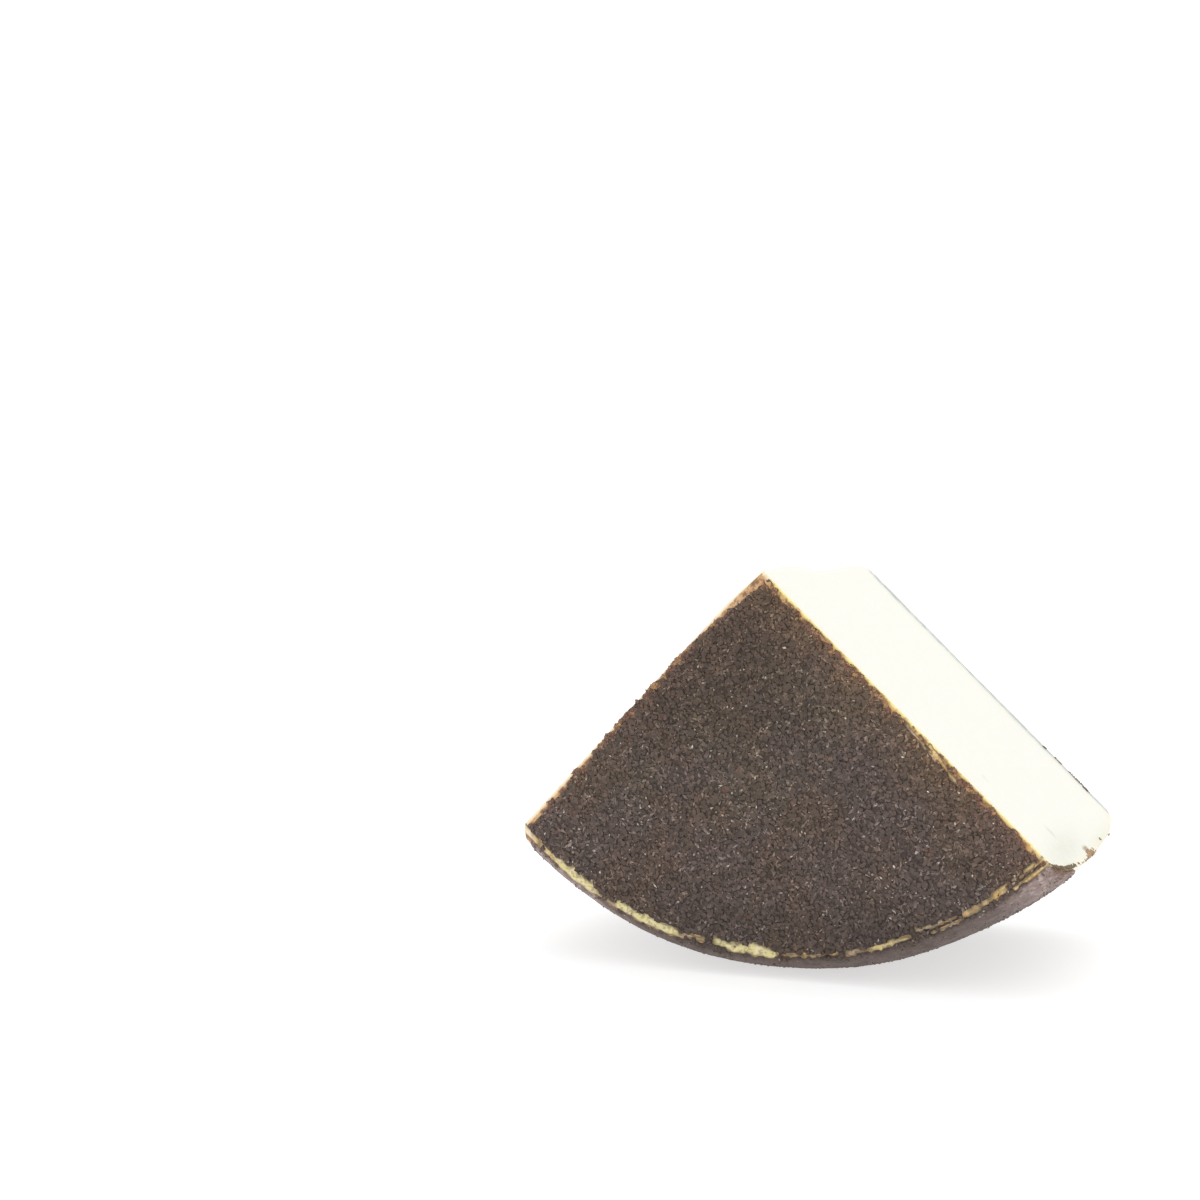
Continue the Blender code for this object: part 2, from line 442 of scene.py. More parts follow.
class Board:
    """Lays out shader nodes in a tree and joins them."""

    def __init__(self, tree: bpy.types.NodeTree) -> None:
        """Takes the tree that the nodes go into."""
        self.tree = tree
        self.column = 0

    def node(self, kind: str, **settings: Any) -> bpy.types.Node:
        """Adds a node with the given settings."""
        made = self.tree.nodes.new(kind)
        made.location = (self.column * 40, -(self.column % 5) * 180)
        self.column += 1
        for name, value in settings.items():
            setattr(made, name, value)
        return made

    def feed(self, socket: Socket, value: Any) -> None:
        """Sets a socket to a number or colour, or links another socket to it."""
        if isinstance(value, bpy.types.NodeSocket):
            self.tree.links.new(value, socket)
        elif isinstance(value, tuple) and len(value) == 3 and socket.type == "RGBA":
            socket.default_value = (*value, 1.0)
        else:
            socket.default_value = value

    def maths(self, operation: str, *values: Any) -> Socket:
        """A Math node's result."""
        made = self.node("ShaderNodeMath", operation=operation)
        for socket, value in zip(made.inputs, values):
            self.feed(socket, value)
        return made.outputs[0]

    def times(self, first: Any, second: Any) -> Socket:
        """The product of two numbers."""
        return self.maths("MULTIPLY", first, second)

    def blend(self, factor: Any, first: Any, second: Any) -> Socket:
        """A colour between two others."""
        made = self.node("ShaderNodeMix", data_type="RGBA", clamp_factor=True)
        self.feed(made.inputs[0], factor)
        self.feed(made.inputs[6], first)
        self.feed(made.inputs[7], second)
        return made.outputs[2]

    def tinted(self, factor: Any, colour: Any, tint: Colour) -> Socket:
        """A colour multiplied by a tint, as far as the factor says."""
        made = self.node("ShaderNodeMix", data_type="RGBA", blend_type="MULTIPLY")
        self.feed(made.inputs[0], factor)
        self.feed(made.inputs[6], colour)
        self.feed(made.inputs[7], tint)
        return made.outputs[2]

    def between(self, value: Any, low: float, high: float, start: float = 0.0, end: float = 1.0) -> Socket:
        """Maps low to start and high to end, smoothly, and clamps."""
        made = self.node("ShaderNodeMapRange", interpolation_type="SMOOTHSTEP")
        for socket, number in zip(made.inputs, (value, low, high, start, end)):
            self.feed(socket, number)
        return made.outputs[0]

    def stored(self, name: str) -> Socket:
        """The number that paint() stored on the mesh."""
        return self.node("ShaderNodeAttribute", attribute_name=name).outputs["Fac"]

    def places(self) -> Socket:
        """Where each point is, in the object's own frame."""
        return self.node("ShaderNodeTexCoord").outputs["Object"]

    def noise(self, vector: Any, scale: Any, detail: float = 2.0, roughness: float = 0.5) -> Socket:
        """A noise texture's value."""
        made = self.node("ShaderNodeTexNoise")
        self.feed(made.inputs["Vector"], vector)
        self.feed(made.inputs["Scale"], scale)
        made.inputs["Detail"].default_value = detail
        made.inputs["Roughness"].default_value = roughness
        return made.outputs["Fac"]

    def group(self, tree: bpy.types.NodeTree, **values: Any) -> bpy.types.Node:
        """Places a node group with its own values; a space in an input's name is written as _."""
        made = self.node("ShaderNodeGroup", node_tree=tree)
        for name, value in values.items():
            self.feed(made.inputs[name.replace("_", " ")], value)
        return made


class SharedEffects:
    """Node groups that more than one finish uses."""

    def __init__(self) -> None:
        """Builds each group once."""
        self.mottle = self._mottle()
        self.grit = self._grit()
        self.drift_and_shade = self._drift_and_shade()
        self.scorch = self._scorch()

    @staticmethod
    def _tree(name: str, inputs: dict[str, float], outputs: tuple[str, ...]) -> tuple[Board, Any, Any]:
        """A new group with named inputs and outputs, and its two end nodes."""
        tree = bpy.data.node_groups.new(name, "ShaderNodeTree")
        for label, value in inputs.items():
            socket = tree.interface.new_socket(label, in_out="INPUT", socket_type="NodeSocketFloat")
            socket.default_value = value
        for label in outputs:
            tree.interface.new_socket(label, in_out="OUTPUT", socket_type="NodeSocketFloat")
        board = Board(tree)
        return board, board.node("NodeGroupInput"), board.node("NodeGroupOutput")

    def _mottle(self) -> bpy.types.NodeTree:
        """Soft-edged blotches: 1 inside one, 0 outside."""
        inputs = {"Scale": 200.0, "Amount": 0.5, "Softness": 0.08}
        board, start, end = self._tree("mottle", inputs, ("Mask",))
        value = board.noise(board.places(), start.outputs["Scale"], 3.0, 0.6)
        level = board.maths("SUBTRACT", 1.0, start.outputs["Amount"])
        made = board.node("ShaderNodeMapRange", interpolation_type="SMOOTHSTEP")
        board.feed(made.inputs[0], value)
        board.feed(made.inputs[1], board.maths("SUBTRACT", level, start.outputs["Softness"]))
        board.feed(made.inputs[2], board.maths("ADD", level, start.outputs["Softness"]))
        board.feed(end.inputs["Mask"], made.outputs[0])
        return board.tree

    def _grit(self) -> bpy.types.NodeTree:
        """Angular grains: a tone for each grain, and a height that falls to its edges."""
        inputs = {"Scale": 900.0}
        board, start, end = self._tree("grit", inputs, ("Tone", "Height"))
        cells = board.node("ShaderNodeTexVoronoi", feature="F1")
        board.feed(cells.inputs["Vector"], board.places())
        board.feed(cells.inputs["Scale"], start.outputs["Scale"])
        tone = board.node("ShaderNodeSeparateColor")
        board.feed(tone.inputs[0], cells.outputs["Color"])
        fine = board.noise(board.places(), board.times(start.outputs["Scale"], 2.2), 2.0, 0.6)
        height = board.maths("SUBTRACT", board.times(fine, 0.6), cells.outputs["Distance"])
        board.feed(end.inputs["Tone"], tone.outputs[0])
        board.feed(end.inputs["Height"], height)
        return board.tree

    def _drift_and_shade(self) -> bpy.types.NodeTree:
        """Where the coating drifts to plum and to a warm brown and is darker in random clumps, with painted
        shade low down and at the upper left, and painted light towards the right cut.
        """
        inputs = {"Plum Scale": 42.0, "Warm Scale": 65.0, "Dark Scale": 230.0}
        board, start, end = self._tree("drift_and_shade", inputs, ("Plum", "Warm", "Dark", "Shade", "Sunny"))
        place = board.node("ShaderNodeSeparateXYZ")
        board.feed(place.inputs[0], board.places())
        across, height = place.outputs["X"], place.outputs["Z"]
        low = board.between(height, 0.025, 0.085, 0.16, 0.0)
        high = board.between(height, 0.060, 0.110, 0.0, 0.14)
        # Painted shade: darker low down and at the upper left, towards the tip.
        upper = board.between(height, 0.058, 0.080, 0.0, 0.9)
        upper_left = board.times(upper, board.between(across, -0.002, 0.022, 1.0, 0.0))
        shade = board.maths("MAXIMUM", board.between(height, 0.012, 0.034, 1.0, 0.0), upper_left)
        board.feed(end.inputs["Shade"], shade)
        # Painted light: the coating lighter and warmer towards the right cut.
        to_right_cut = board.maths("MULTIPLY_ADD", across, RIGHT_CUT_SLOPE, height)
        board.feed(end.inputs["Sunny"], board.between(to_right_cut, 0.086, 0.113))
        for label, lift in (("Plum", low), ("Warm", high)):
            value = board.noise(board.places(), start.outputs[label + " Scale"], 3.0, 0.6)
            board.feed(end.inputs[label], board.between(board.maths("ADD", value, lift), 0.42, 0.66))
        clumps = board.noise(board.places(), start.outputs["Dark Scale"], 3.0, 0.65)
        board.feed(end.inputs["Dark"], board.between(clumps, 0.38, 0.62))
        return board.tree

    def _scorch(self) -> bpy.types.NodeTree:
        """Where the coating beside a cut has taken up the skin's dye, in brown and in amber patches."""
        inputs = {"Edge": 1.0, "Reach": 4.0 * MM}
        board, start, end = self._tree("scorch", inputs, ("Brown", "Amber"))
        share = board.maths("DIVIDE", start.outputs["Edge"], start.outputs["Reach"])
        near = board.between(share, 0.0, 1.0, 1.0, 0.0)
        brown = board.maths("MULTIPLY_ADD", near, 0.34, board.noise(board.places(), 300.0, 3.0, 0.6))
        amber = board.maths("MULTIPLY_ADD", near, 0.23, board.noise(board.places(), 520.0, 3.0, 0.6))
        board.feed(end.inputs["Brown"], board.between(brown, 0.64, 0.80))
        board.feed(end.inputs["Amber"], board.between(amber, 0.70, 0.78))
        return board.tree


DRIFT_AND_SHADE_TINTS: dict[str, Colour] = {
    "Dark": (0.78, 0.78, 0.78),
    "Plum": (1.00, 0.96, 1.04),
    "Warm": (1.06, 1.00, 0.88),
    # Shade is painted shade and Sunny is painted light; the other tints are the coating's own colour.
    "Shade": (0.80, 0.79, 0.77),
    "Sunny": (1.26, 1.18, 1.04),
}
SCORCH_DYES: dict[str, tuple[float, Colour]] = {
    "Brown": (0.62, (0.240, 0.116, 0.073)),
    "Amber": (0.70, (0.520, 0.305, 0.130)),
}


def drifted_and_shaded(board: Board, effects: SharedEffects, colour: Socket) -> Socket:
    """The coating's colour, tinted where it drifts, darkened by painted shade, lightened by painted light
    towards the right cut, and dyed beside the cuts.
    """
    drift_and_shade = board.group(effects.drift_and_shade)
    for label, tint in DRIFT_AND_SHADE_TINTS.items():
        colour = board.tinted(drift_and_shade.outputs[label], colour, tint)
    scorch = board.group(effects.scorch, Edge=board.stored("edge"))
    for label, (most, dye) in SCORCH_DYES.items():
        colour = board.blend(board.times(scorch.outputs[label], most), colour, dye)
    return colour


def blotches(board: Board, effects: SharedEffects, scale: float, amount: float, softness: float) -> Socket:
    """The mask of soft-edged blotches; a higher amount gives more of them."""
    return board.group(effects.mottle, Scale=scale, Amount=amount, Softness=softness).outputs["Mask"]


def principled(name: str) -> tuple[bpy.types.Material, Board, bpy.types.Node]:
    """A new material, a board for its nodes and its Principled shader."""
    material = bpy.data.materials.new(name)
    material.use_nodes = True
    return material, Board(material.node_tree), material.node_tree.nodes["Principled BSDF"]


def bump(board: Board, shader: bpy.types.Node, height: Socket, strength: float, distance: float) -> None:
    """Roughens a shader's surface by a height."""
    made = board.node("ShaderNodeBump")
    made.inputs["Strength"].default_value = strength
    made.inputs["Distance"].default_value = distance
    board.feed(made.inputs["Height"], height)
    board.feed(shader.inputs["Normal"], made.outputs[0])


@dataclass(frozen=True)
class PasteFinish:
    """Ivory cheese, with a skin that the coating has dyed, and painted shade on the right cut."""

    ivory: Colour = (0.904, 0.895, 0.814)
    rim_tint: Colour = (0.925, 0.870, 0.660)
    glow: Colour = (0.970, 0.880, 0.440)
    pale_glow: Colour = (0.950, 0.905, 0.700)
    yellow: Colour = (0.950, 0.810, 0.320)
    orange: Colour = (0.540, 0.275, 0.100)
    rust: Colour = (0.235, 0.115, 0.055)
    cream: Colour = (0.870, 0.745, 0.560)
    olive: Colour = (0.680, 0.620, 0.290)
    gold: Colour = (0.690, 0.430, 0.130)
    pink: Colour = (0.500, 0.350, 0.270)
    worn_border: Colour = (0.190, 0.140, 0.070)
    pale: Colour = (0.900, 0.840, 0.700)
    # The colour of the painted shade along the far edge of the right cut.
    line_grey: Colour = (0.460, 0.480, 0.460)
    stain: Colour = (0.420, 0.310, 0.190)
    # The colour of the painted shade on the cut face.
    shade: Colour = (0.740, 0.745, 0.640)
    tint_depth: float = 6.0 * MM
    glow_depth: float = 2.0 * MM
    dye_depth: float = 0.6 * MM
    undyed_depth: float = 0.8 * MM
    depth_wander: float = 0.9 * MM
    roughness: float = 0.46
    scattering: float = 0.12
    scattering_reach: Colour = (0.0030, 0.0022, 0.0012)

    def material(self, effects: SharedEffects) -> bpy.types.Material:
        """Builds the material."""
        made, board, shader = principled("pecorino_paste")
        depth = board.stored("rind_depth")
        ragged = board.noise(board.places(), 420.0, 3.0, 0.6)
        wander = board.times(board.maths("SUBTRACT", ragged, 0.5), self.depth_wander)
        uneven = board.maths("ADD", depth, wander)
        patches = board.noise(board.places(), 240.0, 3.0, 0.6)
        undyed = board.between(patches, 0.44, 0.58, self.undyed_depth, 0.0)
        on_cut = board.between(depth, 0.0, 0.2 * MM)
        uneven = board.maths("MULTIPLY_ADD", undyed, on_cut, uneven)
        body = board.blend(board.between(uneven, 0.0, self.tint_depth), self.rim_tint, self.ivory)
        glow = board.blend(board.between(patches, 0.44, 0.60), self.pale_glow, self.glow)
        body = board.blend(board.between(uneven, 0.0, self.glow_depth), glow, body)
        orange_spots = blotches(board, effects, 330.0, 0.44, 0.07)
        rust_spots = blotches(board, effects, 480.0, 0.47, 0.09)
        left_side, edge = board.stored("left_side"), board.stored("edge")
        near_right = board.between(edge, 0.1 * MM, 0.9 * MM)
        near_left = board.between(edge, 0.4 * MM, 1.2 * MM)
        leftward = board.maths("SUBTRACT", near_left, near_right)
        inward = board.maths("MULTIPLY_ADD", left_side, leftward, near_right)
        dye = board.blend(board.times(orange_spots, 0.6), self.yellow, self.orange)
        dye = board.blend(board.times(left_side, 0.85), dye, self.cream)
        singed = board.maths("ADD", board.times(inward, 0.75), board.times(orange_spots, 0.30))
        dye = board.blend(singed, dye, self.orange)
        dye = board.blend(board.times(rust_spots, inward), dye, self.rust)
        tone = board.stored("warmth")
        rubbed = board.blend(board.between(tone, 0.0, 0.5), self.olive, self.gold)
        rubbed = board.blend(board.between(tone, 0.5, 1.0), rubbed, self.pink)
        light_spots = blotches(board, effects, 620.0, 0.46, 0.12)
        dark_spots = blotches(board, effects, 800.0, 0.46, 0.08)
        rubbed = board.blend(board.times(light_spots, 0.45), rubbed, self.cream)
        rubbed = board.blend(board.times(dark_spots, 0.55), rubbed, self.worn_border)
        rubbed = board.blend(board.times(left_side, 0.75), rubbed, self.cream)
        wear = board.stored("wear")
        rubbed = board.blend(board.between(wear, 0.45, 1.0), self.worn_border, rubbed)
        skin = board.blend(board.between(wear, 0.2, 0.5), dye, rubbed)
        skin = board.blend(board.stored("pale"), skin, self.pale)
        colour = board.blend(board.between(uneven, self.dye_depth * 0.4, self.dye_depth), skin, body)
        # Painted shade: the cut face greyer where the shade spots lie.
        shaded = board.times(board.stored("shade"), board.between(ragged, 0.2, 0.6, 0.5, 1.0))
        colour = board.blend(shaded, colour, self.shade)
        # Painted shade: a broken grey line along the far edge of the right cut.
        broken = board.times(board.stored("far_edge_shade"), board.between(ragged, 0.35, 0.6, 0.45, 1.0))
        colour = board.blend(broken, colour, self.line_grey)
        stained = board.maths("ADD", board.stored("stain"), board.times(ragged, 0.5))
        spread = board.between(stained, 0.5, 1.0)
        colour = board.blend(spread, colour, self.stain)
        board.feed(shader.inputs["Base Color"], colour)
        shader.inputs["Roughness"].default_value = self.roughness
        shader.inputs["Subsurface Weight"].default_value = self.scattering
        shader.inputs["Subsurface Radius"].default_value = self.scattering_reach
        shader.inputs["Subsurface Scale"].default_value = 1.0
        curd = board.noise(board.places(), 700.0, 4.0, 0.65)
        bump(board, shader, curd, 0.35, 0.0004)
        return made


@dataclass(frozen=True)
class CrustFinish:
    """The dark binder between the pepper grains."""

    dark: Colour = (0.054, 0.040, 0.031)
    brown: Colour = (0.112, 0.081, 0.064)
    side_plum: Colour = (0.168, 0.124, 0.110)
    side_tan: Colour = (0.410, 0.305, 0.285)
    side_light: Colour = (0.620, 0.500, 0.475)
    rust: Colour = (0.165, 0.088, 0.058)
    edge_reach: float = 4.0 * MM
    roughness: float = 0.75

    def material(self, effects: SharedEffects) -> bpy.types.Material:
        """Builds the material."""
        made, board, shader = principled("pecorino_crust")
        grit = board.group(effects.grit, Scale=1100.0)
        colour = board.blend(grit.outputs["Tone"], self.dark, self.brown)
        colour = drifted_and_shaded(board, effects, colour)
        side_spots = blotches(board, effects, 190.0, 0.5, 0.16)
        side_colour = board.blend(board.times(side_spots, 0.6), self.side_plum, colour)
        bright = board.times(board.stored("bright_side"), board.between(side_spots, 0.0, 1.0, 1.0, 0.6))
        side_colour = board.blend(bright, side_colour, self.side_tan)
        flecks = blotches(board, effects, 560.0, 0.42, 0.10)
        pits = blotches(board, effects, 470.0, 0.40, 0.10)
        side_colour = board.blend(board.times(flecks, bright), side_colour, self.side_light)
        side_colour = board.blend(board.times(pits, 0.5), side_colour, self.side_plum)
        colour = board.blend(board.times(board.stored("side"), 0.85), colour, side_colour)
        near = board.between(board.stored("edge"), 0.0, self.edge_reach, 1.0, 0.0)
        spots = blotches(board, effects, 170.0, 0.48, 0.08)
        colour = board.blend(board.times(near, spots), colour, self.rust)
        board.feed(shader.inputs["Base Color"], colour)
        shader.inputs["Roughness"].default_value = self.roughness
        bump(board, shader, grit.outputs["Height"], 0.8, 0.0005)
        return made


@dataclass(frozen=True)
class GrainFinish:
    """Cracked pepper of one kind: each grain has its own tone between two colours."""

    name: str
    low: Colour
    high: Colour
    roughness: float

    def material(self, effects: SharedEffects) -> bpy.types.Material:
        """Builds the material."""
        made, board, shader = principled(self.name)
        speck = board.group(effects.grit, Scale=3200.0)
        own = board.times(board.stored("tone"), 0.8)
        tone = board.maths("MULTIPLY_ADD", speck.outputs["Tone"], 0.3, own)
        colour = drifted_and_shaded(board, effects, board.blend(tone, self.low, self.high))
        board.feed(shader.inputs["Base Color"], colour)
        shader.inputs["Roughness"].default_value = self.roughness
        bump(board, shader, speck.outputs["Height"], 0.4, 0.00015)
        return made


@dataclass(frozen=True)
class Streak:
    """A stretch of shoulder where the coating has rubbed off.

    start_deg and end_deg are angles round the wheel from straight down. start_mm and end_mm say where its
    middle lies at each end: millimetres from the shoulder, less than zero on the flat face. warmth is 0 for
    an olive yellow skin, 0.5 for cream and 1 for pink.
    """

    start_deg: float
    end_deg: float
    start_mm: float
    end_mm: float
    width_mm: float
    strength: float
    warmth: float

    def strength_at(self, angle: np.ndarray, along: np.ndarray, ragged: np.ndarray) -> np.ndarray:
        """How far the coating is gone at each point.

        Args:
            angle: each point's angle round the wheel, in degrees.
            along: its distance along the profile from the shoulder, in metres.
            ragged: noise that tears the streak's border.

        Returns:
            0 where the coating is whole, up to the streak's strength.
        """
        t = np.clip((angle - self.start_deg) / (self.end_deg - self.start_deg), 0.0, 1.0)
        middle = (self.start_mm + (self.end_mm - self.start_mm) * t) * MM
        off_side = np.abs(along - middle) / (self.width_mm * MM / 2)
        past_end = np.maximum(self.start_deg - angle, angle - self.end_deg)
        ends = 1 - smooth(-1.0, 0.6, past_end + ragged)
        torn = (0.9 + 0.9 / self.width_mm) * ragged
        return self.strength * ends * (1 - smooth(0.4, 1.4, off_side + torn))


@dataclass(frozen=True)
class Scratch:
    """A scrape through the coating of the front face, along the right cut.

    Each end is given by its distance from the ridge along the cut and by its distance from the cut.
    """

    start_mm: tuple[float, float]
    end_mm: tuple[float, float]
    width_mm: float
    warmth: float

    def strength_at(self, down: np.ndarray, inside: np.ndarray, ragged: np.ndarray) -> np.ndarray:
        """How far the coating is gone at each point: 0 where it is whole, 1 in the scrape's middle."""
        start, end = np.array(self.start_mm) * MM, np.array(self.end_mm) * MM
        places = np.stack([down, inside], axis=1) - start
        share = np.clip(places @ (end - start) / ((end - start) @ (end - start)), 0.0, 1.0)
        off = np.linalg.norm(places - share[:, None] * (end - start), axis=1) / (self.width_mm * MM / 2)
        return 1 - smooth(0.4, 1.4, off + 0.9 * ragged)


@dataclass
class Wear:
    """Where the coating has rubbed off the shoulders, in front as photographed and at the back by a rule."""

    # Each streak: start_deg, end_deg, start_mm, end_mm, width_mm, strength, warmth.
    front: tuple[Streak, ...] = (
        Streak(-48.0, -42.0, 0.8, 0.8, 2.4, 1.0, 0.50),
        Streak(-43.0, -36.0, 0.5, 0.7, 2.4, 1.0, 0.30),
        Streak(-38.0, -28.0, 0.7, 1.2, 4.0, 1.0, 0.15),
        Streak(-28.0, -25.0, 1.6, 1.4, 2.0, 0.8, 0.9),
        Streak(-26.0, -15.0, 0.6, 0.3, 3.3, 1.0, 0.10),
        Streak(-15.0, -10.5, 0.6, -0.2, 2.0, 0.8, 0.85),
        Streak(-9.8, 1.0, -0.2, 0.5, 4.2, 1.0, 0.10),
        Streak(1.0, 11.0, 0.6, 0.9, 1.6, 0.70, 0.70),
        Streak(11.0, 15.0, 0.8, 0.5, 1.8, 0.80, 0.90),
        Streak(14.5, 22.0, 0.4, -0.6, 2.6, 0.90, 0.25),
        Streak(22.0, 29.5, -1.5, -0.5, 1.3, 0.85, 1.00),
        Streak(24.0, 33.0, 0.9, 0.6, 1.2, 0.75, 0.90),
        Streak(29.5, 38.0, -0.5, -0.3, 1.9, 0.90, 0.60),
        Streak(35.0, 46.0, -1.5, -0.7, 1.2, 0.90, 0.35),
        Streak(38.0, 46.0, 0.7, 1.5, 1.6, 1.00, 0.45),
    )
    scratches: tuple[Scratch, ...] = (
        Scratch((70.0, 0.8), (83.0, 3.0), 1.2, 0.45),
        Scratch((61.0, 1.2), (74.0, 2.6), 0.9, 0.85),
    )
    back_count: int = 7
    seed: int = 5

    def back(self) -> Iterator[Streak]:
        """Streaks of like size along the back shoulder."""
        rng = np.random.default_rng(self.seed)
        starts = np.linspace(-44, 38, self.back_count)
        for start in starts:
            length = rng.uniform(5, 12)
            middle = rng.uniform(-0.8, 0.8)
            width, strength, warmth = rng.uniform(1.4, 3.0), rng.uniform(0.6, 1), rng.uniform(0, 1)
            yield Streak(start, start + length, middle, middle, width, strength, warmth)

    def at(self, form: WedgeForm, points: np.ndarray, along: np.ndarray) -> tuple[np.ndarray, np.ndarray]:
        """How far the coating is gone at each point, and how warm the skin there is."""
        angle = form.angle_of(points)
        ragged = 0.55 * noise_at(points, 1.6 * MM, 3) + 0.45 * noise_at(points, 5.0 * MM, 4)
        back_shoulder = form.wheel.side_length()
        gone, warmth = np.zeros(len(points)), np.full(len(points), 0.3)
        layers = [(streak, along) for streak in self.front]
        layers += [(streak, back_shoulder - along) for streak in self.back()]
        marks = [(streak.strength_at(angle, distance, ragged), streak.warmth) for streak, distance in layers]
        down, inside = (points - form.tip) @ form.right.down, form.inside(form.right, points)
        on_face = smooth(0.5 * MM, -0.5 * MM, along) * (points[:, 1] < 0)
        for scratch in self.scratches:
            marks.append((scratch.strength_at(down, inside, ragged) * on_face, scratch.warmth))
        for here, tone in marks:
            warmth = np.where(here > gone, tone, warmth)
            gone = np.maximum(gone, here)
        return gone, warmth


@dataclass(frozen=True)
class StainOrShadeSpot:
    """A soft spot on the right cut face, by its distance from the ridge and from the front face: a stain, or
    painted shade.
    """

    down_mm: float
    depth_mm: float
    down_radius_mm: float
    depth_radius_mm: float
    strength: float

    def level(self, down: np.ndarray, deep: np.ndarray) -> np.ndarray:
        """How strong the mark is at each place."""
        off_down = (down - self.down_mm) / self.down_radius_mm
        off_deep = (deep - self.depth_mm) / self.depth_radius_mm
        return self.strength * np.exp(-(off_down**2 + off_deep**2))


@dataclass
class Paste:
    """The cheese itself: a closed body with a dyed skin and two knife-cut faces."""

    form: WedgeForm
    wear: Wear
    spacing: float = 1.2 * MM
    skin_depth: float = 0.7 * MM
    edge_round: float = 0.45 * MM
    edge_reach: float = 1.6 * MM
    pale_back: float = 3.0 * MM
    bow: float = 0.35 * MM
    bow_length: float = 30 * MM
    drag: float = 0.10 * MM
    drag_length: float = 4 * MM
    drag_stretch: float = 0.35
    ridge_fade: float = 0.08
    table_gap: float = 0.2 * MM
    far_edge_mm: tuple[float, float] = (98.8, 101.5)
    sharp_deg: float = 50.0
    pale_rim: float = 1.6 * MM
    # Each spot, a stain or painted shade: down_mm, depth_mm, down_radius_mm, depth_radius_mm, strength.
    stains: tuple[StainOrShadeSpot, ...] = (
        StainOrShadeSpot(120.6, 7.0, 1.0, 5.0, 0.8),
        StainOrShadeSpot(120.0, 44.0, 1.5, 4.0, 0.8),
    )
    # Painted shade: greyer spots by the nicks, towards the bottom of the cut and along its far edge.
    shades: tuple[StainOrShadeSpot, ...] = (
        StainOrShadeSpot(116.0, 26.0, 5.0, 22.0, 0.75),
        StainOrShadeSpot(110.0, 28.6, 2.2, 1.1, 1.5),
        StainOrShadeSpot(112.6, 34.6, 1.0, 1.0, 0.9),
        StainOrShadeSpot(86.2, 17.1, 1.0, 0.8, 1.0),
        StainOrShadeSpot(121.0, 70.0, 3.0, 22.0, 0.5),
        StainOrShadeSpot(60.0, 101.0, 70.0, 4.0, 0.45),
    )

    def skin(self, ring: Ring) -> np.ndarray:
        """The ring moved in by the coating's thickness, and rounded off towards the cuts."""
        form = self.form
        away = form.wheel.swell(ring.points) - self.skin_depth - self.rounding(ring.points)
        return self.settled(ring.points + ring.normals * away[:, None])

    def rounding(self, points: np.ndarray) -> np.ndarray:
        """How much lower the skin lies towards the cuts."""
        return self.edge_round * (1 - smooth(0, self.edge_reach, self.form.nearest_cut(points)))

    def settled(self, points: np.ndarray, deeper: np.ndarray | float = 0.0) -> np.ndarray:
        """The points with crushed corners, and none below the table.

        Args:
            points: places on the surface.
            deeper: how far under the crushed corners each one stays.

        Returns:
            The moved points.
        """
        for crush in self.form.crushes:
            points = crush.pressed(points, deeper)
        points = points.copy()
        points[:, 2] = np.maximum(points[:, 2], self.table_gap)
        return points

    def cut_row(
        self, cut: KnifeCut, start: np.ndarray, end: np.ndarray, reach: float, side_y: np.ndarray
    ) -> np.ndarray:
        """Points of a cut face at one share of the way from the ridge to the rind.

        Args:
            cut: which cut it is.
            start: the row's end on the front face.
            end: its end on the back face.
            reach: share of the way from the ridge to the rind.
            side_y: the y of each column where it meets the side.

        Returns:
            The row's inner points.
        """
        form = self.form
        depth = (side_y + form.wheel.half) / form.wheel.thickness
        y = start[1] + (end[1] - start[1]) * depth
        flat = []
        for at, rim_at in zip(y, side_y):
            ridge, rim = form.ridge(at), form.rim_point(cut, rim_at)[[0, 2]]
            flat.append(ridge + reach * (rim - ridge))
        flat = np.array(flat)
        points = np.stack([flat[:, 0], y, flat[:, 1]], axis=1)
        edge = smooth(0, 4 * MM, form.wheel.half - np.abs(y)) * smooth(0, 0.04, 1 - reach)
        stretched = points * [1.0, self.drag_stretch, 1.0]
        relief = self.bow * noise_at(points, self.bow_length, 1)
        relief = relief + self.drag * noise_at(stretched, self.drag_length, 2)
        relief = relief * edge * smooth(0, 0.05, reach) - self.bow * 0.5 * edge
        wave = np.cos(2 * math.pi * (y + form.wheel.half - form.ridge_crest) / form.ridge_wave_length)
        points = points + relief[:, None] * cut.normal
        crest = form.ridge_wave * wave * math.exp(-reach / self.ridge_fade)
        points[:, 2] += crest * edge_fade(y, form.wheel.half)
        return points

    def build(self, finish: PasteFinish, effects: SharedEffects) -> bpy.types.Object:
        """Makes the body and stores what its finish reads."""
        form, shell = self.form, Shell()
        rings = form.rings(self.spacing)
        skin = [self.skin(ring) for ring in rings]
        numbers = shell.sheet(rings, skin, flip=False)
        steps = round(form.wheel.face_radius / self.spacing)
        side_y, _ = form.wheel.side_stations(self.spacing)
        columns = np.concatenate([[0.0], (side_y + form.wheel.half) / form.wheel.thickness, [1.0]])
        ridge_row = shell.add(self.settled(self.cut_row(form.right, skin[0][0], skin[-1][0], 0.0, side_y)))
        ridge_row = np.concatenate([numbers[0][:1], ridge_row, numbers[-1][:1]])
        for cut, end in ((form.right, -1), (form.left, 0)):
            above = ridge_row
            for k in range(1, steps + 1):
                front, back = numbers[k][end], numbers[-1 - k][end]
                if k < steps:
                    row = self.cut_row(cut, skin[k][end], skin[-1 - k][end], k / steps, side_y)
                    inner = shell.add(self.settled(row))
                else:
                    inner = np.array([ring[end] for ring in numbers[steps + 1 : -1 - steps]])
                below = np.concatenate([[front], inner, [back]])
                shell.stitch(above, below, columns, columns, flip=cut.side < 0)
                above = below
        made = shell.object("paste", finish.material(effects), smooth_shading=True)
        made.data.set_sharp_from_angle(angle=math.radians(self.sharp_deg))
        self.store(made, sum(len(ring) for ring in numbers), rings)
        return made

